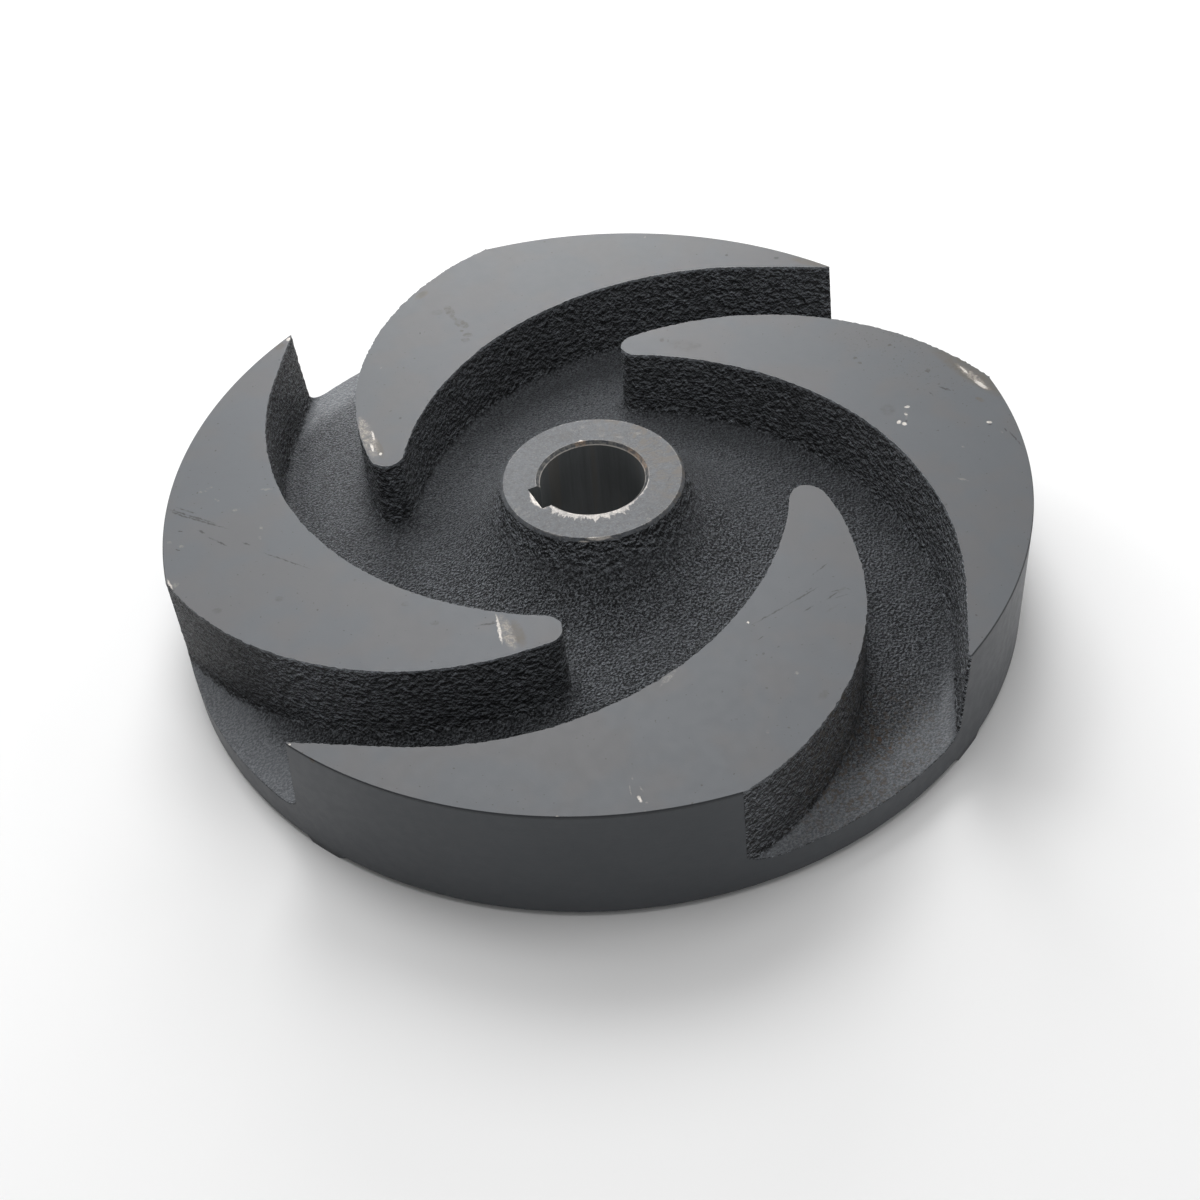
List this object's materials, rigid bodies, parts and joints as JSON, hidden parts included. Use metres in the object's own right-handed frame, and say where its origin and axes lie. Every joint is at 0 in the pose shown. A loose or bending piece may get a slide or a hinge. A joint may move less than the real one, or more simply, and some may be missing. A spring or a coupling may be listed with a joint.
{
  "type": "pump impeller",
  "caption": "Semi-open centrifugal pump impeller cast in one piece, with backward-curved vanes on a solid shroud disc and a keyed centre bore.",
  "frame": {"origin": "on the bore axis, in the plane that the back boss and back ribs stand on", "axes": "+Z along the bore towards the open vane side, -X through the middle of the keyway"},
  "size_m": [0.26, 0.26, 0.0427],
  "materials": {
    "painted_iron": "satin grey paint over sand-cast iron, smooth where turned"
  },
  "bodies": {
    "root": {"impeller": "painted_iron"}
  },
  "joints": []
}
